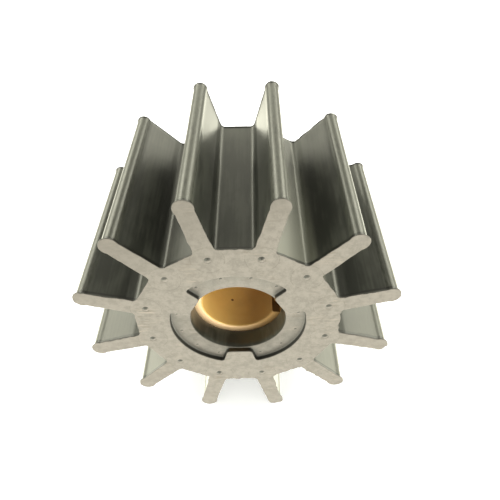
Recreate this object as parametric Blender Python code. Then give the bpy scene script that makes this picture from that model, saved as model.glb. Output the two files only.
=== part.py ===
"""Flexible impeller: a rubber hub with twelve beaded vanes, bonded on a brass bush.

Metres, +Z up. The bore's axis is the Y axis, the front end faces -Y, and the origin is the
middle of the bore. It lies as it would on a table, on the beads of its two lowest vanes.
Sections are drawn as (x, z) points, seen from the front, and carried along Y.
"""

from math import acos, asin, cos, pi, radians, sin, sqrt

import bmesh
import bpy

MM = 0.001
GAP = 0.3 * MM

# Whole impeller
LENGTH = 62.0 * MM
OUTER_RADIUS = 46.9 * MM
VANE_COUNT = 12
VANE_PITCH = 2 * pi / VANE_COUNT
FIRST_VANE_ANGLE = VANE_PITCH / 2

# Hub: a flat between each two vanes, and a bore that narrows to a lip at each end of the bush
HUB_FLAT_RADIUS = 29.3 * MM
MOUTH_RADIUS = 14.2 * MM
LIP_RADIUS = 13.4 * MM

# Recess in each end of the hub, broken by three lugs that stand flush with the end
RECESS_RADIUS = 20.0 * MM
RECESS_DEPTH = 1.5 * MM
LUG_ANGLES = (radians(30), radians(150), radians(270))
LUG_HALF_ANGLE = radians(15)
LUG_FLAT_RADIUS = 14.3 * MM
LUG_CORNER_RADIUS = 1.3 * MM

# Vane: a tapered web with a round bead along its tip and a fillet along each side of its root
BEAD_RADIUS = 2.1 * MM
BEAD_CENTRE_RADIUS = OUTER_RADIUS - BEAD_RADIUS
ROOT_HALF_THICKNESS = 2.2 * MM
NECK_HALF_THICKNESS = 1.85 * MM
NECK_RADIUS = BEAD_CENTRE_RADIUS - sqrt(BEAD_RADIUS**2 - NECK_HALF_THICKNESS**2)
ROOT_FILLET = 2.4 * MM

# Brass bush, with a keyway along its bore
BUSH_LENGTH = 47.0 * MM
BUSH_OUTER_RADIUS = 15.0 * MM
BORE_RADIUS = 11.1 * MM
BORE_CHAMFER = 0.4 * MM
KEYWAY_ANGLE = radians(-8)
KEYWAY_WIDTH = 4.8 * MM
KEYWAY_FLOOR_RADIUS = 13.3 * MM

# How finely the round parts are drawn, and how far a cutter runs past what it cuts
ROUND_STEPS = 96
BEAD_STEPS = 18
FILLET_STEPS = 5
CORNER_STEPS = 4
SHARP_ANGLE = radians(30)
REACH = 5.0 * MM
SAME_POINT = 0.0001 * MM


def clear_scene():
    for obj in list(bpy.data.objects):
        bpy.data.objects.remove(obj, do_unlink=True)


def finish(name, colour, roughness, metallic=0.0):
    """A Principled material."""
    material = bpy.data.materials.new(name)
    material.use_nodes = True
    shader = material.node_tree.nodes["Principled BSDF"]
    shader.inputs["Base Color"].default_value = (*colour, 1.0)
    shader.inputs["Roughness"].default_value = roughness
    shader.inputs["Metallic"].default_value = metallic
    return material


def mesh_from(name, bm, material=None):
    """Closes the bmesh into a new mesh, smooth where its faces meet gently."""
    bmesh.ops.recalc_face_normals(bm, faces=bm.faces)
    mesh = bpy.data.meshes.new(name)
    bm.to_mesh(mesh)
    bm.free()
    mesh.shade_smooth()
    mesh.set_sharp_from_angle(angle=SHARP_ANGLE)
    if material:
        mesh.materials.append(material)
    return mesh


def place(name, mesh, parent=None):
    obj = bpy.data.objects.new(name, mesh)
    bpy.context.scene.collection.objects.link(obj)
    obj.parent = parent
    return obj


def prism(name, outline, low, high, material=None):
    """A mesh: a closed outline of (x, z) points, carried from y = low to y = high."""
    bm = bmesh.new()
    near, far = [[bm.verts.new((x, y, z)) for x, z in outline] for y in (low, high)]
    for i in range(len(outline)):
        bm.faces.new((near[i - 1], near[i], far[i], far[i - 1]))
    bm.faces.new(near)
    bm.faces.new(far)
    return mesh_from(name, bm, material)


def turned(name, profile, closed, material=None):
    """A mesh: a profile of (radius, y) points, turned about Y.

    A closed profile makes a ring. An open one starts and ends on the axis, and makes a solid.
    """
    bm = bmesh.new()
    points = [bm.verts.new((radius, y, 0)) for radius, y in profile]
    ends = points[1:] + points[:1] if closed else points[1:]
    edges = [bm.edges.new(pair) for pair in zip(points, ends)]
    bmesh.ops.spin(
        bm,
        geom=points + edges,
        cent=(0, 0, 0),
        axis=(0, 1, 0),
        angle=2 * pi,
        steps=ROUND_STEPS,
        use_merge=True,
    )
    bmesh.ops.remove_doubles(bm, verts=bm.verts, dist=SAME_POINT)
    return mesh_from(name, bm, material)


def cutter(name, mesh):
    obj = place(name, mesh)
    obj.hide_render = True
    obj.display_type = "WIRE"
    return obj


def cut(obj, tool):
    modifier = obj.modifiers.new(tool.name, "BOOLEAN")
    modifier.operation = "DIFFERENCE"
    modifier.solver = "EXACT"
    modifier.object = tool


def polar(radius, angle):
    return radius * cos(angle), radius * sin(angle)


def rotated(points, angle):
    return [(x * cos(angle) - z * sin(angle), x * sin(angle) + z * cos(angle)) for x, z in points]


def mirrored(points):
    """The points' mirror images in the X axis, in reverse order."""
    return [(x, -z) for x, z in reversed(points)]


def arc(centre, radius, start, end, steps):
    """Points round a centre from angle start to angle end, both included."""
    angles = [start + (end - start) * i / steps for i in range(steps + 1)]
    return [(centre[0] + radius * cos(a), centre[1] + radius * sin(a)) for a in angles]


def web_half_thickness(radius):
    """The web tapers evenly from the hub's flats to the neck below the bead."""
    share = (radius - HUB_FLAT_RADIUS) / (NECK_RADIUS - HUB_FLAT_RADIUS)
    return ROOT_HALF_THICKNESS + share * (NECK_HALF_THICKNESS - ROOT_HALF_THICKNESS)


def root_fillet():
    """The fillet from the side of a vane along +X down to a flat of the hub, one gap above it.

    The flat's normal is half a pitch from the vane, and the fillet's centre lies one fillet
    radius off the flat and off the side.
    """
    lean = VANE_PITCH / 2
    across = ROOT_HALF_THICKNESS + ROOT_FILLET
    along = (HUB_FLAT_RADIUS + ROOT_FILLET - across * sin(lean)) / cos(lean)
    centre = (along, web_half_thickness(along) + ROOT_FILLET)
    foot = lean - pi + acos(1 - GAP / ROOT_FILLET)
    return arc(centre, ROOT_FILLET, -pi / 2, foot, FILLET_STEPS)


def vane_outline():
    """The section of a vane along +X: the ridge under its foot, one side, the bead, the other."""
    ridge = ((HUB_FLAT_RADIUS + GAP) / cos(VANE_PITCH / 2), 0.0)
    turn = pi - asin(NECK_HALF_THICKNESS / BEAD_RADIUS)
    bead = arc((BEAD_CENTRE_RADIUS, 0), BEAD_RADIUS, -turn, turn, BEAD_STEPS)
    side = root_fillet()
    return [ridge, *mirrored(side), *bead, *side]


def hub_outline():
    """The section of the hub: one straight side between each two vanes."""
    corner_radius = HUB_FLAT_RADIUS / cos(VANE_PITCH / 2)
    return [polar(corner_radius, FIRST_VANE_ANGLE + i * VANE_PITCH) for i in range(VANE_COUNT)]


def lug_outline(angle):
    """The section of a lug: a flat inner end with rounded corners, and radial sides."""
    along = LUG_FLAT_RADIUS + LUG_CORNER_RADIUS
    across = (along * sin(LUG_HALF_ANGLE) - LUG_CORNER_RADIUS) / cos(LUG_HALF_ANGLE)
    end_turn = pi / 2 + LUG_HALF_ANGLE
    corner = arc((along, across), LUG_CORNER_RADIUS, pi, end_turn, CORNER_STEPS)
    side = [*corner, polar(RECESS_RADIUS + REACH, LUG_HALF_ANGLE)]
    return rotated(side + mirrored(side), angle)


def recess_cutter(name, end, direction):
    """The ring cut out of the end of the hub at y = end, less its lugs."""
    floor = end - direction * RECESS_DEPTH
    outside = end + direction * REACH
    inner = LIP_RADIUS - REACH
    ring = [(inner, floor), (RECESS_RADIUS, floor), (RECESS_RADIUS, outside), (inner, outside)]
    tool = cutter(name, turned(name, ring, closed=True))
    low, high = sorted((floor - direction * REACH, outside + direction * REACH))
    for number, angle in enumerate(LUG_ANGLES, 1):
        lug = f"{name}_lug_{number}"
        cut(tool, cutter(lug, prism(lug, lug_outline(angle), low, high)))
    return tool


def bore_cutter():
    """The hub's bore: a tapering mouth at each end, and the bush's pocket between the lips."""
    pocket_end = BUSH_LENGTH / 2 + GAP
    half = [
        (BUSH_OUTER_RADIUS + GAP, pocket_end),
        (LIP_RADIUS, pocket_end),
        (MOUTH_RADIUS, LENGTH / 2 - RECESS_DEPTH),
        (MOUTH_RADIUS, LENGTH / 2 + REACH),
        (0.0, LENGTH / 2 + REACH),
    ]
    other_half = [(radius, -y) for radius, y in reversed(half)]
    return cutter("bore_cutter", turned("bore_cutter", other_half + half, closed=False))


def make_hub(parent):
    rubber = finish("hub_rubber", (0.16, 0.15, 0.13), 0.55)
    block = prism("rubber_hub", hub_outline(), -LENGTH / 2, LENGTH / 2, rubber)
    hub = place("rubber_hub", block, parent)
    cut(hub, bore_cutter())
    cut(hub, recess_cutter("front_recess_cutter", -LENGTH / 2, -1))
    cut(hub, recess_cutter("back_recess_cutter", LENGTH / 2, 1))


def make_vanes(parent):
    rubber = finish("vane_rubber", (0.13, 0.13, 0.11), 0.5)
    mesh = prism("vane", vane_outline(), -LENGTH / 2, LENGTH / 2, rubber)
    for number in range(VANE_COUNT):
        vane = place(f"vane_{number + 1:02d}", mesh, parent)
        vane.rotation_euler.y = -(FIRST_VANE_ANGLE + number * VANE_PITCH)


def keyway_cutter():
    half = KEYWAY_WIDTH / 2
    inner = BORE_RADIUS - REACH
    outline = [(inner, -half), (KEYWAY_FLOOR_RADIUS, -half), (KEYWAY_FLOOR_RADIUS, half), (inner, half)]
    length = BUSH_LENGTH / 2 + REACH
    mesh = prism("keyway_cutter", rotated(outline, KEYWAY_ANGLE), -length, length)
    return cutter("keyway_cutter", mesh)


def make_bush(parent):
    end = BUSH_LENGTH / 2
    half = [
        (BUSH_OUTER_RADIUS, end),
        (BORE_RADIUS + BORE_CHAMFER, end),
        (BORE_RADIUS, end - BORE_CHAMFER),
    ]
    other_half = [(radius, -y) for radius, y in reversed(half)]
    brass = finish("bush_brass", (0.68, 0.46, 0.20), 0.3, 1.0)
    bush = place("brass_bush", turned("brass_bush", half + other_half, True, brass), parent)
    cut(bush, keyway_cutter())


def main():
    clear_scene()
    axis = place("impeller_axis", None)
    make_hub(axis)
    make_vanes(axis)
    make_bush(axis)


main()
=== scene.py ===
"""The looks of a flexible impeller: a rubber moulding bonded on a keyed brass bush.

The bore's axis is Y, the front end faces -Y, and the origin is the middle of the bore. Shapes are
worked out in millimetres, as (x, z) sections seen from the front and y along the bore, and become
metres when a mesh is made. Angles are in degrees from +X, anticlockwise seen from the front.
"""

import logging
from dataclasses import dataclass, field
from enum import Enum

import bmesh
import bpy
import numpy as np
from mathutils import Matrix, Vector
from mathutils.geometry import delaunay_2d_cdt


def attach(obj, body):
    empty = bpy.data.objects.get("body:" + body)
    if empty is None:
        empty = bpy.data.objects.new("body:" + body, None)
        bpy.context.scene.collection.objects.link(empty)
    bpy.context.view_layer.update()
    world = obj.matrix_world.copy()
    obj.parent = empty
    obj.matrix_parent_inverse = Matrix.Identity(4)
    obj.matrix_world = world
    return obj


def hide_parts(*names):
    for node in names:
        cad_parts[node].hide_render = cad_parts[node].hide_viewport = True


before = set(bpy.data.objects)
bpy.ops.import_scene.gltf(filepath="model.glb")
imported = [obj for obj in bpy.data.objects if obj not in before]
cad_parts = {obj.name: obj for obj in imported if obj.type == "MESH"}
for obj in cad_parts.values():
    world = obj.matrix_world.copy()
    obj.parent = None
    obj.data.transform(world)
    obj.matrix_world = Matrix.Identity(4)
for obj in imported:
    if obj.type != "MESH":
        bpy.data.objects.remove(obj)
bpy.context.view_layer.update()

MM = 0.001
log = logging.getLogger("impeller")

Array = np.ndarray


class End(Enum):
    """The two ends of the impeller, by the direction that they face along Y."""

    FRONT = -1
    BACK = 1


class Stock(Enum):
    """The record's material slots."""

    RUBBER = "moulded_rubber"
    BRASS = "bush_brass"


# Plane geometry


def polar(radius: Array | float, degrees: Array | float) -> Array:
    """Points at a radius and an angle: (r cos a, r sin a), stacked on the last axis.

    Args:
        radius: distance from the axis, in millimetres.
        degrees: angle from +X.

    Returns:
        An array of (x, z) points.
    """
    turn = np.radians(degrees)
    return np.stack(np.broadcast_arrays(radius * np.cos(turn), radius * np.sin(turn)), axis=-1)


def arc(centre: tuple[float, float], radius: float, start: float, end: float, steps: int) -> Array:
    """Points at even angles round a centre, both ends included: centre + polar(radius, angle).

    Args:
        centre: the arc's centre.
        radius: its radius.
        start: first angle in degrees.
        end: last angle in degrees.
        steps: how many spans it has.

    Returns:
        An array of steps + 1 points.
    """
    return np.array(centre) + polar(radius, np.linspace(start, end, steps + 1))


def line(start: Array, end: Array, steps: int) -> Array:
    """Points at even steps from start to end, both included: start + t (end - start).

    Args:
        start: first point.
        end: last point.
        steps: how many spans it has.

    Returns:
        An array of steps + 1 points.
    """
    t = np.linspace(0, 1, steps + 1)[:, None]
    return np.asarray(start) * (1 - t) + np.asarray(end) * t


def turned_about_axis(points: Array, degrees: float) -> Array:
    """The points turned about the bore's axis by the usual rotation of x and z.

    Args:
        points: (x, z) points.
        degrees: how far they turn.

    Returns:
        The turned points.
    """
    c, s = np.cos(np.radians(degrees)), np.sin(np.radians(degrees))
    return points @ np.array([[c, s], [-s, c]])


def mirrored(points: Array) -> Array:
    """The points' mirror images across the X axis, in reverse order."""
    return points[::-1] * np.array([1, -1])


def joined(*runs: Array) -> Array:
    """Runs of points end to end, each run but the first without its first point."""
    return np.concatenate([runs[0], *[run[1:] for run in runs[1:]]])


def outward_normals(loop: Array) -> Array:
    """Unit normals of a closed anticlockwise loop: its chord from point i-1 to i+1, turned clockwise.

    Args:
        loop: (x, z) points, the last not repeating the first.

    Returns:
        One unit vector for each point.
    """
    along = np.roll(loop, -1, axis=0) - np.roll(loop, 1, axis=0)
    out = np.stack([along[:, 1], -along[:, 0]], axis=1)
    return out / np.linalg.norm(out, axis=1, keepdims=True)


def path_length(loop: Array) -> Array:
    """Distance along a closed loop from its first point to each point."""
    steps = np.linalg.norm(np.diff(loop, axis=0), axis=1)
    return np.concatenate([[0.0], np.cumsum(steps)])


def looped_noise(along: Array, total: float, wave: float, seed: int) -> Array:
    """Smooth noise round a closed path: seeded values a wave apart, joined by cosine steps.

    Args:
        along: distance along the path.
        total: the path's whole length.
        wave: distance between two values.
        seed: seed of the values.

    Returns:
        Noise from -1 to 1, equal at both ends of the path.
    """
    count = max(4, int(total / wave))
    values = np.random.default_rng(seed).uniform(-1, 1, count)
    place = along / total * count
    low = np.floor(place).astype(int)
    blend = (1 - np.cos(np.pi * (place - low))) / 2
    return values[low % count] * (1 - blend) + values[(low + 1) % count] * blend


# Mesh patches


@dataclass
class Patch:
    """Points in millimetres, faces as rows of point numbers, and how much of a ground end each has, lowered
    in places to paint shade.
    """

    points: Array
    faces: list[Array]
    ground: Array


def strip(rows: Array, ground: Array, closed: bool = True) -> Patch:
    """A surface of two parameters: rows of points along one, the points of a row along the other.

    Args:
        rows: points as (row, column, 3).
        ground: share of ground end for each row.
        closed: whether the last column joins the first.

    Returns:
        The patch of quads.
    """
    count, wide = rows.shape[:2]
    number = np.arange(count * wide).reshape(count, wide)
    near = number if closed else number[:, :-1]
    far = np.roll(number, -1, axis=1) if closed else number[:, 1:]
    quads = np.stack([near[:-1], far[:-1], far[1:], near[1:]], axis=-1).reshape(-1, 4)
    return Patch(rows.reshape(-1, 3), [quads], np.repeat(ground, wide))


def is_inside(places: Array, loops: list[Array]) -> Array:
    """Whether each place lies inside an odd number of loops.

    A ray to the right of the place crosses the edges of the loops that it is inside an odd number
    of times in all.

    Args:
        places: (x, z) places to test.
        loops: closed loops of (x, z) points.

    Returns:
        One truth value for each place.
    """
    start = np.concatenate(loops)
    end = np.concatenate([np.roll(loop, -1, axis=0) for loop in loops])
    x, z = places[:, None, 0], places[:, None, 1]
    spans = (start[:, 1] > z) != (end[:, 1] > z)
    rise = np.where(start[:, 1] == end[:, 1], 1.0, end[:, 1] - start[:, 1])
    crossing = start[:, 0] + (z - start[:, 1]) * (end[:, 0] - start[:, 0]) / rise
    return (spans & (x < crossing)).sum(axis=1) % 2 == 1


def flat_fill(y: float, loops: list[Array], ground: float = 1.0) -> Patch:
    """A flat patch between an outer loop and the holes in it, as a Delaunay triangulation.

    Args:
        y: the plane's place along the bore.
        loops: closed loops of (x, z) points: the outside, then the holes.
        ground: share of ground end over it.

    Returns:
        The patch of triangles, on the given points only.
    """
    flat = np.concatenate(loops)
    edges, start = [], 0
    for loop in loops:
        number = np.arange(len(loop)) + start
        edges += np.stack([number, np.roll(number, -1)], axis=1).tolist()
        start += len(loop)
    points, _, faces, origins, _, _ = delaunay_2d_cdt([Vector(p) for p in flat], edges, [], 0, 1e-7, True)
    triangles = np.array([origin[0] for origin in origins])[np.array(faces)]
    triangles = triangles[is_inside(flat[triangles].mean(axis=1), loops)]
    places = np.stack([flat[:, 0], np.full(len(flat), y), flat[:, 1]], axis=1)
    return Patch(places, [triangles], np.full(len(flat), ground))


def welded(patches: list[Patch]) -> tuple[Array, list[Array], Array]:
    """Joins patches at the points that they share exactly.

    Args:
        patches: the patches, whose shared points are equal number for number.

    Returns:
        The points, the faces by array and the share of ground end of each point.
    """
    points = np.concatenate([patch.points for patch in patches])
    ground = np.concatenate([patch.ground for patch in patches])
    rounded = np.round(points, 6) + 0.0
    _, first, back = np.unique(rounded, axis=0, return_index=True, return_inverse=True)
    back = back.reshape(-1)
    faces, start = [], 0
    for patch in patches:
        faces += [back[rows + start] for rows in patch.faces]
        start += len(patch.points)
    return points[first], faces, ground[first]


def mesh_object(name: str, points: Array, faces: list[Array], ground: Array | None) -> bpy.types.Object:
    """A smooth mesh in the scene, its faces as given.

    Args:
        name: the piece's name.
        points: its points in millimetres.
        faces: its faces, as arrays of point numbers.
        ground: share of ground end for each point, if the piece has ground ends.

    Returns:
        The new object, at the origin.
    """
    mesh = bpy.data.meshes.new(name)
    mesh.from_pydata((points * MM).tolist(), [], [row for rows in faces for row in rows.tolist()])
    mesh.validate()
    if ground is not None:
        share = mesh.attributes.new("ground", "FLOAT", "POINT")
        share.data.foreach_set("value", ground.astype(np.float32))
    mesh.shade_smooth()
    piece = bpy.data.objects.new(name, mesh)
    bpy.context.scene.collection.objects.link(piece)
    return piece


def facing_out(faces: list[Array], points: Array) -> list[Array]:
    """The faces as they are if the volume they enclose is positive, or else each in reverse order.

    Args:
        faces: arrays of quads or triangles that close a body.
        points: its points.

    Returns:
        Faces that point outwards.
    """
    volume = 0.0
    for rows in faces:
        for k in range(1, rows.shape[1] - 1):
            a, b, c = points[rows[:, 0]], points[rows[:, k]], points[rows[:, k + 1]]
            volume += np.einsum("ij,ij->i", a, np.cross(b, c)).sum()
    return faces if volume > 0 else [rows[:, ::-1] for rows in faces]


# Shader maths


class Value:
    """A shader socket that Python's operators work on: each adds a Math node to its tree."""

    def __init__(self, tree: "Tree", socket: bpy.types.NodeSocket) -> None:
        """Wraps a socket of a tree."""
        self.tree = tree
        self.socket = socket

    def _math(self, operation: str, *values: "Value | float") -> "Value":
        """A Math node of that operation on those values."""
        return self.tree.node("ShaderNodeMath", {"operation": operation}, dict(enumerate(values)))

    def __add__(self, other: "Value | float") -> "Value":
        """self + other."""
        return self._math("ADD", self, other)

    __radd__ = __add__

    def __sub__(self, other: "Value | float") -> "Value":
        """self - other."""
        return self._math("SUBTRACT", self, other)

    def __rsub__(self, other: "Value | float") -> "Value":
        """other - self."""
        return self._math("SUBTRACT", other, self)

    def __mul__(self, other: "Value | float") -> "Value":
        """self times other."""
        return self._math("MULTIPLY", self, other)

    __rmul__ = __mul__

    def __truediv__(self, other: "Value | float") -> "Value":
        """self over other."""
        return self._math("DIVIDE", self, other)

    def __rtruediv__(self, other: "Value | float") -> "Value":
        """other over self."""
        return self._math("DIVIDE", other, self)

    def __pow__(self, other: "Value | float") -> "Value":
        """self to the power of other."""
        return self._math("POWER", self, other)

    def __neg__(self) -> "Value":
        """self with its sign changed."""
        return self._math("MULTIPLY", self, -1.0)

    def __abs__(self) -> "Value":
        """self without its sign."""
        return self._math("ABSOLUTE", self)

    def sqrt(self) -> "Value":
        """The square root."""
        return self._math("SQRT", self)

    def least(self, other: "Value | float") -> "Value":
        """The smaller of the two."""
        return self._math("MINIMUM", self, other)

    def most(self, other: "Value | float") -> "Value":
        """The larger of the two."""
        return self._math("MAXIMUM", self, other)

    def angle_of(self, across: "Value") -> "Value":
        """The angle whose tangent is self over across, in radians."""
        return self._math("ARCTAN2", self, across)

    def folded(self, span: float) -> "Value":
        """self wrapped into the range from -span / 2 to span / 2."""
        return self._math("WRAP", self, span / 2, -span / 2)

    def ramp(self, low: float, high: float) -> "Value":
        """0 at low and 1 at high with a smooth step between; low may be the larger."""
        settings = {"interpolation_type": "SMOOTHSTEP"}
        flipped = low > high
        places = {"From Min": min(low, high), "From Max": max(low, high)}
        share = self.tree.node("ShaderNodeMapRange", settings, {"Value": self, **places})
        return 1 - share if flipped else share


class Tree:
    """A material's or world's node tree."""

    def __init__(self, owner: bpy.types.Material | bpy.types.World) -> None:
        """Empties the owner's tree."""
        owner.use_nodes = True
        self.nodes = owner.node_tree.nodes
        self.links = owner.node_tree.links
        self.nodes.clear()

    def node(self, kind: str, settings: dict, inputs: dict, output: int | str = 0) -> Value:
        """Adds any node: its settings first, then its sockets.

        Args:
            kind: the node's type.
            settings: its properties by name.
            inputs: a number, vector or Value by socket name or number.
            output: the socket handed back.

        Returns:
            The output socket, wrapped.
        """
        made = self.nodes.new(kind)
        for name, value in settings.items():
            setattr(made, name, value)
        for key, value in inputs.items():
            if isinstance(value, Value):
                self.links.new(value.socket, made.inputs[key])
            else:
                made.inputs[key].default_value = value
        return Value(self, made.outputs[output])

    def place(self, scale: tuple[float, float, float] = (1, 1, 1)) -> Value:
        """Object coordinates in millimetres, times a scale for each axis."""
        point = self.node("ShaderNodeTexCoord", {}, {}, "Object")
        factor = [s / MM for s in scale]
        return self.node("ShaderNodeVectorMath", {"operation": "MULTIPLY"}, {0: point, 1: factor})

    def xyz(self) -> tuple[Value, Value, Value]:
        """Object coordinates in millimetres, one by one."""
        made = self.nodes.new("ShaderNodeSeparateXYZ")
        self.links.new(self.place().socket, made.inputs[0])
        return tuple(Value(self, socket) for socket in made.outputs)

    def attribute(self, name: str) -> Value:
        """A number that the mesh holds at each point."""
        return self.node("ShaderNodeAttribute", {"attribute_name": name}, {}, "Fac")

    def noise(self, place: Value, size: float, detail: float = 2.0, rough: float = 0.5) -> Value:
        """Fractal noise, about 0.5 on average, whose largest lumps are a size apart."""
        inputs = {"Vector": place, "Scale": 1 / size, "Detail": detail, "Roughness": rough}
        return self.node("ShaderNodeTexNoise", {}, inputs)

    def mix(self, share: Value | float, low: Value | tuple, high: Value | tuple) -> Value:
        """A colour between two colours."""
        made = self.nodes.new("ShaderNodeMix")
        made.data_type = "RGBA"
        factor, first, second = made.inputs[0], made.inputs[6], made.inputs[7]
        for socket, value in ((factor, share), (first, low), (second, high)):
            if isinstance(value, Value):
                self.links.new(value.socket, socket)
            else:
                socket.default_value = value if isinstance(value, float) else (*value, 1.0)
        return Value(self, made.outputs[2])

    def bump(self, height: Value, depth: float, below: Value | None = None) -> Value:
        """A normal from a height in millimetres.

        Args:
            height: the height's pattern.
            depth: how many millimetres a height of 1 stands.
            below: another normal that this one is laid on.

        Returns:
            The normal.
        """
        inputs = {"Height": height, "Distance": depth * MM, "Strength": 1.0}
        if below is not None:
            inputs["Normal"] = below
        return self.node("ShaderNodeBump", {}, inputs)

    def output(self, shader: Value, kind: str = "ShaderNodeOutputMaterial") -> None:
        """Ends the tree with a shader."""
        self.node_end = self.nodes.new(kind)
        self.links.new(shader.socket, self.node_end.inputs["Surface"])


# Finishes


@dataclass(frozen=True)
class RubberFinish:
    """Nitrile rubber: dark and satin as it left the mould, lighter and matt where its ends were ground."""

    side_colour: tuple = (0.014, 0.015, 0.013)
    side_bloom: tuple = (0.036, 0.038, 0.033)
    rim_shadow_colour: tuple = (0.006, 0.006, 0.005)
    ring_shade: tuple = (0.060, 0.053, 0.047)
    bead_bloom: tuple = (0.056, 0.058, 0.051)
    painted_light_colour: tuple = (0.125, 0.128, 0.108)
    ground_colour: tuple = (0.114, 0.102, 0.099)
    ground_stain: tuple = (0.082, 0.073, 0.070)
    upper_painted_shade: tuple = (0.064, 0.056, 0.053)
    flow_colour: tuple = (0.150, 0.128, 0.116)
    flow_stain: tuple = (0.072, 0.056, 0.046)
    side_roughness: float = 0.34
    ground_roughness: float = 0.62
    mark_radius: float = 27.1
    ring_radius: float = 4.5
    rim_shadow_start: float = 29.1
    bead_start: float = 42.9
    crease_start: tuple = (25.2, -17.4)
    crease_end: tuple = (20.6, -22.0)

    def material(self) -> bpy.types.Material:
        """Builds the finish as a node material.

        Returns:
            The material.
        """
        material = bpy.data.materials.new("moulded_rubber")
        tree = Tree(material)
        # The ground share mixes moulded side and ground end; where it is lowered on the marks' flanks and at
        # the recess floors' outer edge it paints shade.
        ground = tree.attribute("ground")
        streaks = tree.noise(tree.place((1, 0.04, 1)), 0.9, 2.0, 0.5)
        cloud = tree.noise(tree.place((1, 0.35, 1)), 6.0, 3.0, 0.55)
        worn = (streaks * 0.35 + cloud * 0.65).ramp(0.42, 0.62)
        side = tree.mix(worn, self.side_colour, self.side_bloom)
        bead = self._bead(tree)
        speck = tree.noise(tree.place((1, 0.25, 1)), 0.6, 3.0, 0.65).ramp(0.20, 0.66)
        side = tree.mix(bead * speck, side, self.bead_bloom)
        # Painted light: paler patches on the sides where light falls on them.
        side = tree.mix(self._painted_light(tree, cloud), side, self.painted_light_colour)
        # Painted shadow: the rims of flash shade the sides just behind them.
        side = tree.mix(self._rim_shadow(tree, cloud), side, self.rim_shadow_colour)
        mottle = tree.noise(tree.place(), 1.9, 5.0, 0.75)
        flow = tree.noise(tree.place((0.22, 1, 1.5)), 1.1, 3.0, 0.6)
        patchy = tree.noise(tree.place(), 11.0, 2.0, 0.5).ramp(0.45, 0.68)
        end = tree.mix(mottle.ramp(0.36, 0.66), self.ground_colour, self.ground_stain)
        end = tree.mix(flow.ramp(0.50, 0.72) * patchy, end, self.flow_colour)
        end = tree.mix(flow.ramp(0.44, 0.34) * patchy * 0.8, end, self.flow_stain)
        x, _, z = tree.xyz()
        # Painted shade: the ground ends darken towards the upper left, standing in for less light there.
        upper = (z * 0.8 - x * 0.4 + 5.0 * patchy).ramp(20.0, 38.0)
        end = tree.mix(upper * 0.6, end, self.upper_painted_shade)
        rings = self._witness_rings(tree) * mottle.ramp(0.35, 0.55)
        rings = rings.most(self._crease(x, z, mottle))
        end = tree.mix(rings * 0.8, end, self.ring_shade)
        colour = tree.mix(ground, side, end)
        rough_side = self.side_roughness + 0.10 * (cloud - 0.5) + 0.05 * (streaks - 0.5)
        rough_side = rough_side + 0.20 * self._root(tree)
        rough_end = self.ground_roughness + 0.12 * (mottle - 0.5)
        roughness = rough_side * (1 - ground) + rough_end * ground
        fine = tree.noise(tree.place(), 0.45, 3.0, 0.6)
        relief = tree.bump(streaks * (1 - ground), 0.0014)
        relief = tree.bump((fine * 0.6 + flow * 0.8) * ground, 0.016, relief)
        relief = tree.bump(rings * ground, -0.02, relief)
        settings = {"Base Color": colour, "Roughness": roughness, "Normal": relief, "IOR": 1.52}
        tree.output(tree.node("ShaderNodeBsdfPrincipled", {}, settings))
        return material

    def _bead(self, tree: Tree) -> Value:
        """How much a place belongs to the beads, which rub paler in the box: 1 beyond their middles."""
        x, _, z = tree.xyz()
        return (x * x + z * z).sqrt().ramp(self.bead_start, self.bead_start + 1.4)

    def _root(self, tree: Tree) -> Value:
        """1 on the fillets at the vanes' roots, where the mould was rougher, 0 elsewhere."""
        x, _, z = tree.xyz()
        radius = (x * x + z * z).sqrt()
        return radius.ramp(30.1, 30.7) * radius.ramp(33.6, 32.4)

    def _painted_light(self, tree: Tree, cloud: Value) -> Value:
        """Painted light: a pale patch on the flat at the upper right, strongest at the front, and a weaker
        one on the lower sides.

        Args:
            tree: the material's tree.
            cloud: noise that breaks it up.

        Returns:
            The painted light's share.
        """
        x, y, z = tree.xyz()
        radius = (x * x + z * z).sqrt()
        low = radius.ramp(34.0, 31.5)
        upper_right = x.ramp(8.0, 11.0) * z.ramp(14.0, 18.0)
        below = z.ramp(-2.0, -14.0) * radius.ramp(24.0, 28.0) * 0.4
        return below.most(low * upper_right * (y - 30.0 * cloud).ramp(20.0, -45.0) * 0.9)

    def _crease(self, x: Value, z: Value, wobble: Value) -> Value:
        """A crease that the rubber's flow left, between two points: the distance to that line, sharpened.

        Args:
            x: place across the end.
            z: height.
            wobble: noise that bends the line.

        Returns:
            1 on the crease, 0 elsewhere.
        """
        start, end = Vector(self.crease_start), Vector(self.crease_end)
        length = (end - start).length
        run = (end - start) / length
        along = (x - start.x) * run.x + (z - start.y) * run.y
        across = (x - start.x) * run.y - (z - start.y) * run.x + 1.6 * (wobble - 0.5)
        inside = along.ramp(-0.6, 0.6) * along.ramp(length + 0.6, length - 0.6)
        return abs(across).ramp(0.22, 0.0) * inside

    def _rim_shadow(self, tree: Tree, cloud: Value) -> Value:
        """Painted shadow: a dark line along the sides just behind the rim of flash at each end, where the
        rim shades them.

        Args:
            tree: the material's tree.
            cloud: noise that makes the line wander.

        Returns:
            1 on the line, 0 elsewhere.
        """
        _, along, _ = tree.xyz()
        start = self.rim_shadow_start - 1.2 * (cloud - 0.5) + along.ramp(-1.0, 1.0)
        return (abs(along) - start).ramp(0.0, 0.5)

    def _witness_rings(self, tree: Tree) -> Value:
        """Faint rings that the mould's inserts left round the marks near the vanes' roots.

        The angle about the bore is folded into one pitch, so that twelve rings come of one.

        Args:
            tree: the material's tree.

        Returns:
            1 on the line of a ring, 0 elsewhere.
        """
        x, _, z = tree.xyz()
        radius = (x * x + z * z).sqrt()
        turn = (z.angle_of(x) - np.radians(15.0)).folded(np.radians(30.0))
        across = turn * self.mark_radius
        away = ((radius - self.mark_radius) * (radius - self.mark_radius) + across * across).sqrt()
        return abs(away - self.ring_radius).ramp(0.16, 0.0)


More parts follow.
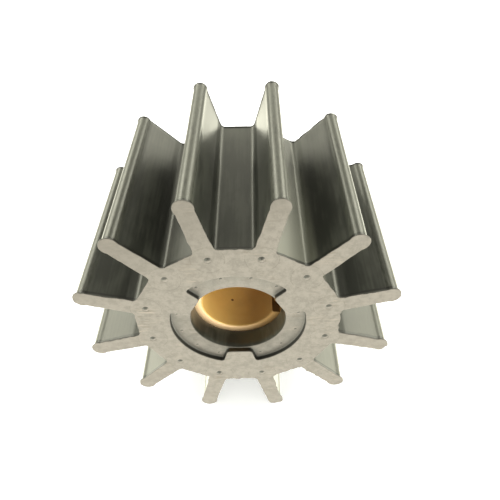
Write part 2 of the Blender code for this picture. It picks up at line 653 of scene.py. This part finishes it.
@dataclass(frozen=True)
class BrassFinish:
    """Machined brass: fine turning marks round the bore, a painted shade that darkens the bore towards its
    right side, brighter on its edges.
    """

    colour: tuple = (1.0, 0.68, 0.25)
    bore_shade_colour: tuple = (0.17, 0.10, 0.038)
    end_colour: tuple = (0.60, 0.44, 0.30)
    roughness: float = 0.50
    metallic: float = 0.4
    dot_centre: tuple = (-2.5, -12.6, -10.82)
    dot_radius: float = 0.45

    def material(self) -> bpy.types.Material:
        """Builds the finish as a node material.

        Returns:
            The material.
        """
        material = bpy.data.materials.new("bush_brass")
        tree = Tree(material)
        x, y, z = tree.xyz()
        radius = (x * x + z * z).sqrt()
        cloud = tree.noise(tree.place(), 6.0, 4.0, 0.6)
        dot = self._dot(x, y, z)
        end = radius.ramp(11.15, 11.35)
        # Painted shade: the bore's wall darkens towards its right side (+x), leaving the ends and chamfer as
        # they are.
        bore_shade = (x + 3.0 * (cloud - 0.5) - 4.0 * end).ramp(-12.0, 6.0)
        colour = tree.mix(end, self.colour, self.end_colour)
        colour = tree.mix(bore_shade * 0.95, colour, self.bore_shade_colour)
        # Painted shade: a dark dot for the shade in a drilled hollow.
        colour = tree.mix(dot, colour, (0.10, 0.05, 0.02))
        turning = tree.noise(tree.place((0.02, 1, 0.02)), 0.16, 2.0, 0.6)
        rings = tree.node(
            "ShaderNodeTexNoise", {"noise_dimensions": "1D"}, {"W": radius, "Scale": 5.0, "Detail": 2.0}
        )
        relief = tree.bump(turning, 0.0035)
        relief = tree.bump(rings, 0.004, relief)
        roughness = self.roughness + 0.16 * (cloud - 0.5) + 0.2 * dot + 0.1 * end
        metal = self.metallic + (1 - self.metallic) * end
        settings = {"Base Color": colour, "Roughness": roughness, "Normal": relief, "Metallic": metal}
        tree.output(tree.node("ShaderNodeBsdfPrincipled", {}, settings))
        return material

    def _dot(self, x: Value, y: Value, z: Value) -> Value:
        """A small drilled dot in the wall of the bore, painted dark as the shade of its hollow, which the
        mesh doesn't have: 1 inside its radius, 0 outside.

        Args:
            x: place across the bore.
            y: place along it.
            z: height.

        Returns:
            The dot's share.
        """
        a, b, c = x - self.dot_centre[0], y - self.dot_centre[1], z - self.dot_centre[2]
        return (a * a + b * b + c * c).sqrt().ramp(self.dot_radius + 0.12, self.dot_radius - 0.12)


# Rubber moulding


@dataclass(frozen=True)
class FlashRim:
    """The rim of flash left round one end of the moulding after trimming."""

    proud: float
    thickness: float
    ragged: float
    seed: int

    def reach(self, along: Array, total: float) -> Array:
        """How far the rim stands proud at each point: its mean plus noise of three wavelengths.

        Args:
            along: distance along the outline.
            total: length of the whole outline.

        Returns:
            One reach for each point.
        """
        slow = looped_noise(along, total, 9.0, self.seed)
        middle = looped_noise(along, total, 2.2, self.seed + 1)
        fine = looped_noise(along, total, 0.9, self.seed + 2)
        torn = np.clip(looped_noise(along, total, 14.0, self.seed + 3) - 0.25, 0, 1)
        wander = 0.35 * slow + 0.3 * middle + 0.3 * fine + 2.0 * torn * fine
        return np.clip(self.proud + self.ragged * wander, 0.05, 1.35 * self.proud)


@dataclass(frozen=True)
class EndMarks:
    """Small marks left by the mould's pins on a flat of the rubber: a round nib in a moat."""

    radius: float
    angles: tuple[float, ...]
    size: float = 0.95
    height: float = 0.50
    seed: int = 3
    shaded_flank_angle: float = 115.0
    rings: int = 12
    steps: int = 24

    def centres(self) -> Array:
        """Where the marks are."""
        return polar(self.radius, np.array(self.angles))

    def borders(self) -> list[Array]:
        """The circle round each mark where it meets the flat."""
        return [arc(tuple(centre), self.size * 1.5, 0, 360, self.steps)[:-1] for centre in self.centres()]

    def patches(self, y: float, end: End) -> list[Patch]:
        """Each mark as rings about its centre: a nib that rises as a cosine, in a moat that dips as one.

        Args:
            y: the flat's place along the bore.
            end: which way the flat faces.

        Returns:
            One patch for each mark.
        """
        random = np.random.default_rng(self.seed)
        made = []
        for border, centre in zip(self.borders(), self.centres()):
            share = np.linspace(1, 0.02, self.rings)
            flat = centre + (border - centre) * share[:, None, None]
            away = share * 1.5
            strength = random.uniform(0.45, 1.0)
            nib = np.where(away < 0.9, (np.cos(np.pi * away / 0.9) + 1) / 2, 0)
            moat = np.sin(np.pi * np.clip((away - 0.7) / 0.6, 0, 1)) ** 2
            rise = strength * (self.height * nib - 0.4 * self.height * moat)
            flank = np.sin(np.pi * np.clip((away - 0.2) / 0.9, 0, 1)) ** 2
            places = np.full((*flat.shape[:2], 3), y)
            places[..., 0], places[..., 2] = flat[..., 0], flat[..., 1]
            places[..., 1] += end.value * rise[:, None]
            patch = strip(places, np.ones(self.rings))
            # Painted shade: the ground share drops on each nib's upper-left flank and the moat beside it,
            # darkening it as its shade.
            offset = flat - centre
            toward_shaded_flank = (offset @ polar(1.0, self.shaded_flank_angle)) / (np.linalg.norm(offset, axis=2) + 1e-9)
            dark = np.clip(3.0 * flank, 0, 1)[:, None] * np.clip(0.3 + 1.6 * toward_shaded_flank, 0, 1)
            share = 1 - 1.3 * dark * strength**0.3
            patch.ground = share.reshape(-1)
            last = len(patch.points) - self.steps
            cap = np.arange(self.steps) + last
            middle = len(patch.points)
            centre_point = places[-1].mean(axis=0, keepdims=True)
            fan = np.stack([cap, np.roll(cap, -1), np.full(self.steps, middle)], axis=1)
            points = np.concatenate([patch.points, centre_point])
            made.append(Patch(points, [*patch.faces, fan], np.append(patch.ground, patch.ground[-1])))
        return made


@dataclass(frozen=True)
class RubberMoulding:
    """The rubber in one piece: a hub with a recess in each end, and twelve beaded vanes."""

    length: float = 62.0
    vane_count: int = 12
    hub_flat_radius: float = 29.3
    bead_radius: float = 2.1
    bead_centre: float = 44.8
    root_half: float = 2.2
    neck_half: float = 1.85
    neck_fillet: float = 0.35
    root_fillet: float = 1.8
    recess_radius: float = 20.0
    recess_depth: float = 1.5
    recess_fillet: float = 0.45
    lug_angles: tuple[float, ...] = (30.0, 150.0, 270.0)
    lug_half_angle: float = 15.0
    lug_flat_radius: float = 14.3
    lug_corner: float = 1.3
    pocket_corner: float = 0.9
    mouth_radius: float = 14.2
    lip_radius: float = 13.4
    bush_radius: float = 15.04
    bush_half_length: float = 23.54
    edge_round: float = 0.16
    wall_rows: int = 15
    front_rim: FlashRim = FlashRim(proud=0.6, thickness=0.34, ragged=0.22, seed=11)
    back_rim: FlashRim = FlashRim(proud=0.22, thickness=0.25, ragged=0.10, seed=29)
    end_marks: EndMarks = EndMarks(27.1, tuple(np.arange(15.0, 360.0, 30.0)))
    floor_marks: EndMarks = EndMarks(
        18.0, tuple(m + d for m in (90.0, 210.0, 330.0) for d in (-38.5, -13.3, 13.3, 38.5)), 0.5, 0.14, 5
    )

    def section(self) -> Array:
        """The outline of the sides: for each vane, half a flat, fillet, web, neck, bead and back again.

        The fillet's centre lies one fillet radius off the flat and off the web's side. The web
        tapers evenly from root to neck, where a small fillet leads into the round bead.

        Returns:
            One anticlockwise loop of (x, z) points, starting at the middle of the flat at 0 degrees.
        """
        pitch = 360.0 / self.vane_count
        lean = np.radians(pitch / 2)
        across = self.root_half + self.root_fillet
        along = (self.hub_flat_radius + self.root_fillet - across * np.sin(lean)) / np.cos(lean)
        neck = self.bead_centre - np.sqrt(self.bead_radius**2 - self.neck_half**2)
        slope = (self.neck_half - self.root_half) / (neck - self.hub_flat_radius)
        centre = (along, self.root_half + slope * (along - self.hub_flat_radius) + self.root_fillet)
        fillet = arc(centre, self.root_fillet, -90.0, pitch / 2 - 180.0, 9)
        turn = 180.0 - np.degrees(np.arcsin(self.neck_half / self.bead_radius))
        bead = arc((self.bead_centre, 0.0), self.bead_radius, 0.0, turn - 7.0, 15)
        before = np.array([neck - 0.32, self.root_half + slope * (neck - 0.32 - self.hub_flat_radius)])
        bend = np.array([[neck - 0.06, self.neck_half + 0.045]])
        neck_run = np.concatenate([bead[-1:], bend, before[None]])
        web = line(before, fillet[0], 11)
        flat_middle = polar(self.hub_flat_radius, pitch / 2)
        flat = line(fillet[-1], flat_middle, 7)
        half = joined(bead, neck_run, web, fillet, flat)
        vane = np.concatenate([mirrored(half)[:-1], half[:-1]])
        turns = [turned_about_axis(vane, pitch / 2 + pitch * k) for k in range(self.vane_count)]
        return np.concatenate(turns)

    def sides(self) -> tuple[Patch, dict[End, Array]]:
        """The outer sides from end to end, with a rim of flash at each end.

        Each row is the section moved along its normals by some reach, at some place along Y.

        Returns:
            The patch, and the border that it leaves for the flat of each end.
        """
        section = self.section()
        normals = outward_normals(section)
        closing = path_length(np.concatenate([section, section[:1]]))
        along, total = closing[:-1], closing[-1]
        half = self.length / 2
        rows, ground = [], []
        for end, rim in ((End.FRONT, self.front_rim), (End.BACK, self.back_rim)):
            reach = rim.reach(along, total)
            depth = rim.thickness * (1 + 0.25 * looped_noise(along, total, 3.0, rim.seed + 7))
            near = [
                (np.zeros_like(depth), reach - 0.30, 1.0),
                (np.zeros_like(depth), reach - 0.11, 1.0),
                (np.full_like(depth, 0.03), reach - 0.03, 0.55),
                (0.35 * depth, reach, 0.2),
                (0.80 * depth, reach - 0.02, 0.3),
                (depth, 0.75 * reach, 0.4),
                (depth + 0.10, 0.25 * reach, 0.2),
                (depth + 0.28, 0.04 * reach, 0.0),
            ]
            made = []
            for inset, out, _ in near:
                flat = section + normals * out[:, None]
                y = end.value * (half - inset)
                made.append(np.stack([flat[:, 0], y, flat[:, 1]], axis=1))
            rows.append(made)
            ground.append([share for *_, share in near])
        walls = np.linspace(-half + 1.3, half - 1.3, self.wall_rows)
        wall = [np.stack([section[:, 0], np.full(len(section), y), section[:, 1]], axis=1) for y in walls]
        every = np.array([*rows[0], *wall, *rows[1][::-1]])
        shares = np.array([*ground[0], *[0.0] * len(wall), *ground[1][::-1]])
        borders = {End.FRONT: every[0][:, [0, 2]], End.BACK: every[-1][:, [0, 2]]}
        return strip(every, shares), borders

    def opening(self) -> tuple[Array, Array]:
        """The edge of the recess in the plane of an end: arcs between the lugs, and round the lugs.

        A lug has radial sides, rounded corners and a flat inner end. The fillet at the foot takes
        up to half of the floor between the wall and the mouth.

        Returns:
            One anticlockwise loop, and the radius of the fillet at the foot below each point.
        """
        half, r = self.lug_half_angle, self.pocket_corner
        along = self.lug_flat_radius + self.lug_corner
        across = (along * np.sin(np.radians(half)) - self.lug_corner) / np.cos(np.radians(half))
        lug_corner = arc((along, across), self.lug_corner, 180.0, 90.0 + half, 6)
        middle = self.recess_radius - r
        swing = half + np.degrees(np.arcsin(r / middle))
        pocket_corner = arc(tuple(polar(middle, swing)), r, half - 90.0, swing, 6)
        upper = joined(lug_corner, line(lug_corner[-1], pocket_corner[0], 7), pocket_corner)
        flat = line(mirrored(upper)[-1], upper[0], 8)
        lug = joined(mirrored(upper), flat, upper)
        pitch = 360.0 / len(self.lug_angles)
        between = polar(self.recess_radius, np.linspace(swing, pitch - swing, 41)[1:-1])
        loop = np.concatenate([turned_about_axis(run, a) for a in self.lug_angles for run in (lug, between)])
        clear = np.linalg.norm(loop, axis=1) - self.mouth_radius
        return loop, np.clip(clear / 2, 0.0, self.recess_fillet)

    def recess(self, end: End) -> tuple[Patch, Array, Array]:
        """The wall of a recess, from a rounded edge down a slight draft to a fillet at its foot.

        Each row is the opening moved into the open side along its normals, at some depth.

        Args:
            end: which end it is in.

        Returns:
            The patch, its border in the end's flat, and its border on the recess's floor.
        """
        loop, foot = self.opening()
        inward = -outward_normals(loop)
        plane = end.value * self.length / 2
        draft = 0.09 * foot
        r, deep = self.edge_round, self.recess_depth
        # The last number of each row is its ground share. It ends at 0.5 where the fillet meets the floor,
        # below the floor's 0.85, which paints shade darkening the floor towards its outer corner.
        rows = [
            (-0.36 + 0 * foot, 0 * foot, 1.0),
            (-r + 0 * foot, 0 * foot, 1.0),
            (-0.3 * r + 0 * foot, 0.3 * r + 0 * foot, 0.6),
            (0 * foot, r + 0 * foot, 0.15),
            (draft * 0.5, 0.4 * deep + 0 * foot, 0.0),
            (draft, deep - foot - 0.02, 0.0),
            (draft + 0.08 * foot, deep - 0.62 * foot - 0.01, 0.0),
            (draft + 0.3 * foot, deep - 0.3 * foot - 0.01, 0.1),
            (draft + 0.62 * foot, deep - 0.08 * foot, 0.3),
            (draft + foot, deep + 0 * foot, 0.5),
        ]
        made = []
        for out, depth, _ in rows:
            flat = loop + inward * out[:, None]
            made.append(np.stack([flat[:, 0], plane - end.value * depth, flat[:, 1]], axis=1))
        every = np.array(made)
        patch = strip(every, np.array([shade for *_, shade in rows]))
        return patch, every[0][:, [0, 2]], every[-1][:, [0, 2]]

    def bore(self) -> tuple[Patch, Array]:
        """The bore: a profile of (radius, y) turned about the axis, from one recess's floor to the other's.

        Returns:
            The patch, and its round border on each floor.
        """
        floor = self.length / 2 - self.recess_depth
        r = 0.18
        half = [
            (self.mouth_radius, floor, 0.85),
            (self.mouth_radius - 0.3 * r, floor - 0.3 * r, 0.5),
            (self.mouth_radius - r, floor - r * 1.2, 0.0),
            (self.mouth_radius - r - 0.15, floor - 2.0, 0.0),
            (self.lip_radius + 0.2, self.bush_half_length + 1.6, 0.0),
            (self.lip_radius, self.bush_half_length + 0.6, 0.0),
            (self.lip_radius + 0.02, self.bush_half_length + 0.12, 0.0),
            (self.lip_radius + 0.12, self.bush_half_length, 0.0),
            (self.bush_radius, self.bush_half_length, 0.0),
            (self.bush_radius, self.bush_half_length * 0.6, 0.0),
        ]
        profile = np.array([(rad, -y, g) for rad, y, g in half] + half[::-1])
        ring = polar(1.0, np.arange(0, 360, 2.0))
        rows = np.zeros((len(profile), len(ring), 3))
        rows[..., [0, 2]] = ring[None] * profile[:, 0, None, None]
        rows[..., 1] = profile[:, 1, None]
        return strip(rows, profile[:, 2]), rows[0][:, [0, 2]]

    def build(self) -> bpy.types.Object:
        """Welds the patches into one closed mesh.

        Returns:
            The moulding.
        """
        sides, borders = self.sides()
        bore, mouth = self.bore()
        patches = [sides, bore]
        for end in End:
            wall, rim, floor_rim = self.recess(end)
            plane = end.value * self.length / 2
            floor = plane - end.value * self.recess_depth
            patches.append(wall)
            patches.append(flat_fill(plane, [borders[end], rim, *self.end_marks.borders()]))
            patches.append(flat_fill(floor, [floor_rim, mouth, *self.floor_marks.borders()], 0.85))
            patches += self.end_marks.patches(plane, end)
            patches += self.floor_marks.patches(floor, end)
        points, faces, ground = welded(patches)
        return self.closed(points, faces, ground)

    def closed(self, points: Array, faces: list[Array], ground: Array) -> bpy.types.Object:
        """Makes one mesh object of the welded patches.

        Args:
            points: all points in millimetres.
            faces: all faces.
            ground: share of ground end of each point.

        Returns:
            The moulding as an object.
        """
        piece = mesh_object("rubber_moulding", points, faces, ground)
        return piece


def make_consistent(piece: bpy.types.Object) -> None:
    """Turns a closed mesh's faces the same way, outwards."""
    bm = bmesh.new()
    bm.from_mesh(piece.data)
    bmesh.ops.recalc_face_normals(bm, faces=bm.faces)
    open_edges = sum(not e.is_manifold for e in bm.edges)
    log.info("%s: %d open edges, volume %.0f mm3", piece.name, open_edges, bm.calc_volume() / MM**3)
    bm.to_mesh(piece.data)
    bm.free()


# Brass bush


@dataclass(frozen=True)
class BrassBush:
    """The turned bush, with a keyway along its bore."""

    length: float = 47.0
    outer_radius: float = 15.0
    bore_radius: float = 11.1
    chamfer: float = 0.4
    keyway_angle: float = -8.0
    keyway_width: float = 4.8
    keyway_floor: float = 13.3
    corner_steps: int = 4

    def bore_section(self) -> tuple[Array, Array]:
        """The bore seen from the front: a circle with a square keyway in it.

        Returns:
            One anticlockwise loop of (x, z) points, and for each point whether the chamfer takes it.
        """
        half = self.keyway_width / 2
        open_angle = np.degrees(np.arcsin(half / self.bore_radius))
        r = 0.15
        top = line(np.array([self.bore_radius * np.cos(np.radians(open_angle)), half]),
                   np.array([self.keyway_floor - r, half]), 3)
        corner = arc((self.keyway_floor - r, half - r), r, 90.0, 0.0, 3)
        side = joined(top, corner)
        floor = line(side[-1], side[-1] * np.array([1, -1]), 6)
        keyway = joined(side, floor, mirrored(side))
        bore = polar(self.bore_radius, np.linspace(open_angle, 360 - open_angle, 161))[1:-1]
        loop = np.concatenate([keyway[::-1], bore])
        round_part = np.concatenate([np.zeros(len(keyway)), np.ones(len(bore))])
        round_part[0] = round_part[len(keyway) - 1] = 1.0
        return turned_about_axis(loop, self.keyway_angle), round_part

    def build(self) -> bpy.types.Object:
        """The bush as one closed surface: its section carried through a chamfered profile.

        Returns:
            The bush.
        """
        loop, round_part = self.bore_section()
        unit = loop / np.linalg.norm(loop, axis=1, keepdims=True)
        end = self.length / 2
        reach = np.linalg.norm(loop, axis=1)
        chamfer = self.chamfer * round_part
        outer = np.full(len(loop), self.outer_radius)
        rows = [
            (reach, -end + 3.0),
            (reach, -end + self.chamfer + 0.12),
            (reach + 0.02 * round_part, -end + self.chamfer),
            (reach + chamfer - 0.02 * round_part, -end + 0.03),
            (reach + chamfer + 0.04, -end),
            (reach * 0.5 + outer * 0.5, -end),
            (outer - 0.3, -end),
            (outer - 0.08, -end + 0.02),
            (outer, -end + 0.12),
            (outer, -end + 3.0),
        ]
        back = [(out, -y) for out, y in rows[::-1]]
        middle_outer = [(outer, y) for y in np.linspace(-end + 6, end - 6, 5)]
        middle_inner = [(reach, y) for y in np.linspace(end - 6, -end + 6, 13)]
        every = [*rows, *middle_outer, *back, *middle_inner, rows[0]]
        places = np.zeros((len(every), len(loop), 3))
        for number, (out, y) in enumerate(every):
            places[number, :, [0, 2]] = (unit * out[:, None]).T
            places[number, :, 1] = y
        points, faces, _ = welded([strip(places, np.zeros(len(every)))])
        piece = mesh_object("brass_bush_turned", points, faces, None)
        piece.data.set_sharp_from_angle(angle=np.radians(35.0))
        return piece


# Studio


@dataclass(frozen=True)
class Studio:
    """A pale table, a bright low surround that fades overhead, and the camera."""

    floor_height: float = -0.04607
    floor_size: float = 3.0
    camera_place: tuple = (0.005255, -0.12357, 0.11777)
    camera_look: tuple = (-0.00951, 0.72456, -0.68914)
    camera_up: tuple = (0.01539, 0.68920, 0.72441)
    lens: float = 36.21
    surround_near: tuple = ((-0.2, 4.0), (0.30, 4.0), (0.45, 2.0), (0.60, 0.9), (1.0, 0.40))
    surround_far: tuple = ((0.06, 0.5), (0.16, 1.0), (0.30, 3.1), (0.42, 1.8), (0.60, 0.66), (1.0, 0.26))
    table_glow: float = 4.2
    far_share: float = 0.22
    light_tint: tuple = (1.0, 0.985, 0.80)
    side_light_place: tuple = (0.90, 0.96, 0.92)
    side_light_size: float = 0.95
    side_light_power: float = 17.0

    def table(self) -> bpy.types.Object:
        """A square of floor under the object."""
        half = self.floor_size / 2
        corners = [(-half, -half), (half, -half), (half, half), (-half, half)]
        mesh = bpy.data.meshes.new("table")
        mesh.from_pydata([(x, y, self.floor_height) for x, y in corners], [], [(0, 1, 2, 3)])
        floor = bpy.data.objects.new("table", mesh)
        bpy.context.scene.collection.objects.link(floor)
        material = bpy.data.materials.new("pale_table")
        tree = Tree(material)
        cloud = tree.noise(tree.place(), 60.0, 2.0, 0.5)
        colour = tree.mix(cloud, (0.78, 0.80, 0.95), (0.82, 0.84, 0.98))
        settings = {
            "Base Color": colour,
            "Roughness": 0.9,
            "Emission Color": (1.0, 0.99, 0.96, 1.0),
            "Emission Strength": 0.42,
        }
        plain = tree.node("ShaderNodeBsdfPrincipled", {}, settings)
        depth = tree.xyz()[1]
        tint = Vector(self.light_tint)
        light = tree.mix(depth.ramp(150.0, 450.0), tuple(tint), tuple(tint * self.far_share))
        glow = tree.node("ShaderNodeEmission", {}, {"Color": light, "Strength": self.table_glow})
        seen = tree.node("ShaderNodeLightPath", {}, {}, "Is Camera Ray")
        tree.output(tree.node("ShaderNodeMixShader", {}, {0: seen, 1: glow, 2: plain}))
        mesh.materials.append(material)
        return floor

    def world(self) -> None:
        """Bright all round at the height of the object and darker overhead, with a dull far side."""
        world = bpy.data.worlds.new("surround")
        bpy.context.scene.world = world
        tree = Tree(world)
        direction = tree.node("ShaderNodeTexCoord", {}, {}, "Generated")
        split = tree.nodes.new("ShaderNodeSeparateXYZ")
        tree.links.new(direction.socket, split.inputs[0])
        depth, height = Value(tree, split.outputs[1]), Value(tree, split.outputs[2])
        near = self._sky(tree, height, self.surround_near)
        far = self._sky(tree, height, self.surround_far)
        light = tree.mix(depth.ramp(0.35, 0.60), near, far)
        shader = tree.node("ShaderNodeBackground", {}, {"Color": light, "Strength": 1.0})
        tree.output(shader, "ShaderNodeOutputWorld")

    def _sky(self, tree: Tree, height: Value, levels: tuple) -> Value:
        """Light by height.

        Args:
            tree: the world's tree.
            height: sine of the elevation.
            levels: pairs of height and radiance.

        Returns:
            The colour.
        """
        ramp = tree.nodes.new("ShaderNodeValToRGB")
        stops = ramp.color_ramp.elements
        while len(stops) < len(levels):
            stops.new(0.5)
        for stop, (place, level) in zip(stops, levels):
            stop.position = (place + 1) / 2
            stop.color = (*[level * share for share in self.light_tint], 1.0)
        tree.links.new(((height + 1) / 2).socket, ramp.inputs[0])
        return Value(tree, ramp.outputs[0])

    def lamp(self, name: str, place: tuple, target: tuple) -> None:
        """A square soft light.

        Args:
            name: its name.
            place: where it is, in metres.
            target: what it points at.
        """
        data = bpy.data.lights.new(name, "AREA")
        data.shape = "SQUARE"
        data.size = self.side_light_size
        data.energy = self.side_light_power
        data.color = self.light_tint
        light = bpy.data.objects.new(name, data)
        bpy.context.scene.collection.objects.link(light)
        light.location = place
        light.rotation_euler = (Vector(target) - Vector(place)).to_track_quat("-Z", "Y").to_euler()

    def camera(self) -> None:
        """The camera at the photograph's angle."""
        data = bpy.data.cameras.new("camera")
        data.lens = self.lens
        data.sensor_width = 36.0
        data.clip_start = 0.005
        camera = bpy.data.objects.new("camera", data)
        bpy.context.scene.collection.objects.link(camera)
        back = -Vector(self.camera_look).normalized()
        right = Vector(self.camera_up).cross(back).normalized()
        up = back.cross(right)
        axes = Matrix((right, up, back)).transposed().to_4x4()
        camera.matrix_world = Matrix.Translation(self.camera_place) @ axes
        bpy.context.scene.camera = camera

    def build(self) -> None:
        """Table, surround, lights and camera."""
        self.table()
        self.world()
        across, along, height = self.side_light_place
        for name, side in (("left_light", -1), ("right_light", 1)):
            self.lamp(name, (side * across, along, height), (0.0, 0.0, 0.0))
        self.camera()
        bpy.context.scene.view_settings.view_transform = "Standard"


def dress(piece: bpy.types.Object, material: bpy.types.Material, stock: Stock, *nodes: str) -> None:
    """Gives a piece its material and its body, and hides the CAD nodes that it stands for.

    Args:
        piece: the piece.
        material: its finish.
        stock: the record's slot; not used.
        *nodes: the nodes that it replaces.
    """
    piece.data.materials.append(material)
    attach(piece, "root")
    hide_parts(*nodes)
    log.info("%s: %d faces", piece.name, len(piece.data.polygons))


def main() -> None:
    """Builds the moulding, the bush and the studio."""
    logging.basicConfig(level=logging.INFO, format="%(name)s: %(message)s")
    moulding = RubberMoulding().build()
    make_consistent(moulding)
    vanes = sorted(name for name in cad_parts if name.startswith("vane_"))
    dress(moulding, RubberFinish().material(), Stock.RUBBER, "rubber_hub", *vanes)
    bush = BrassBush().build()
    make_consistent(bush)
    dress(bush, BrassFinish().material(), Stock.BRASS, "brass_bush")
    Studio().build()


if __name__ == "__main__":
    main()
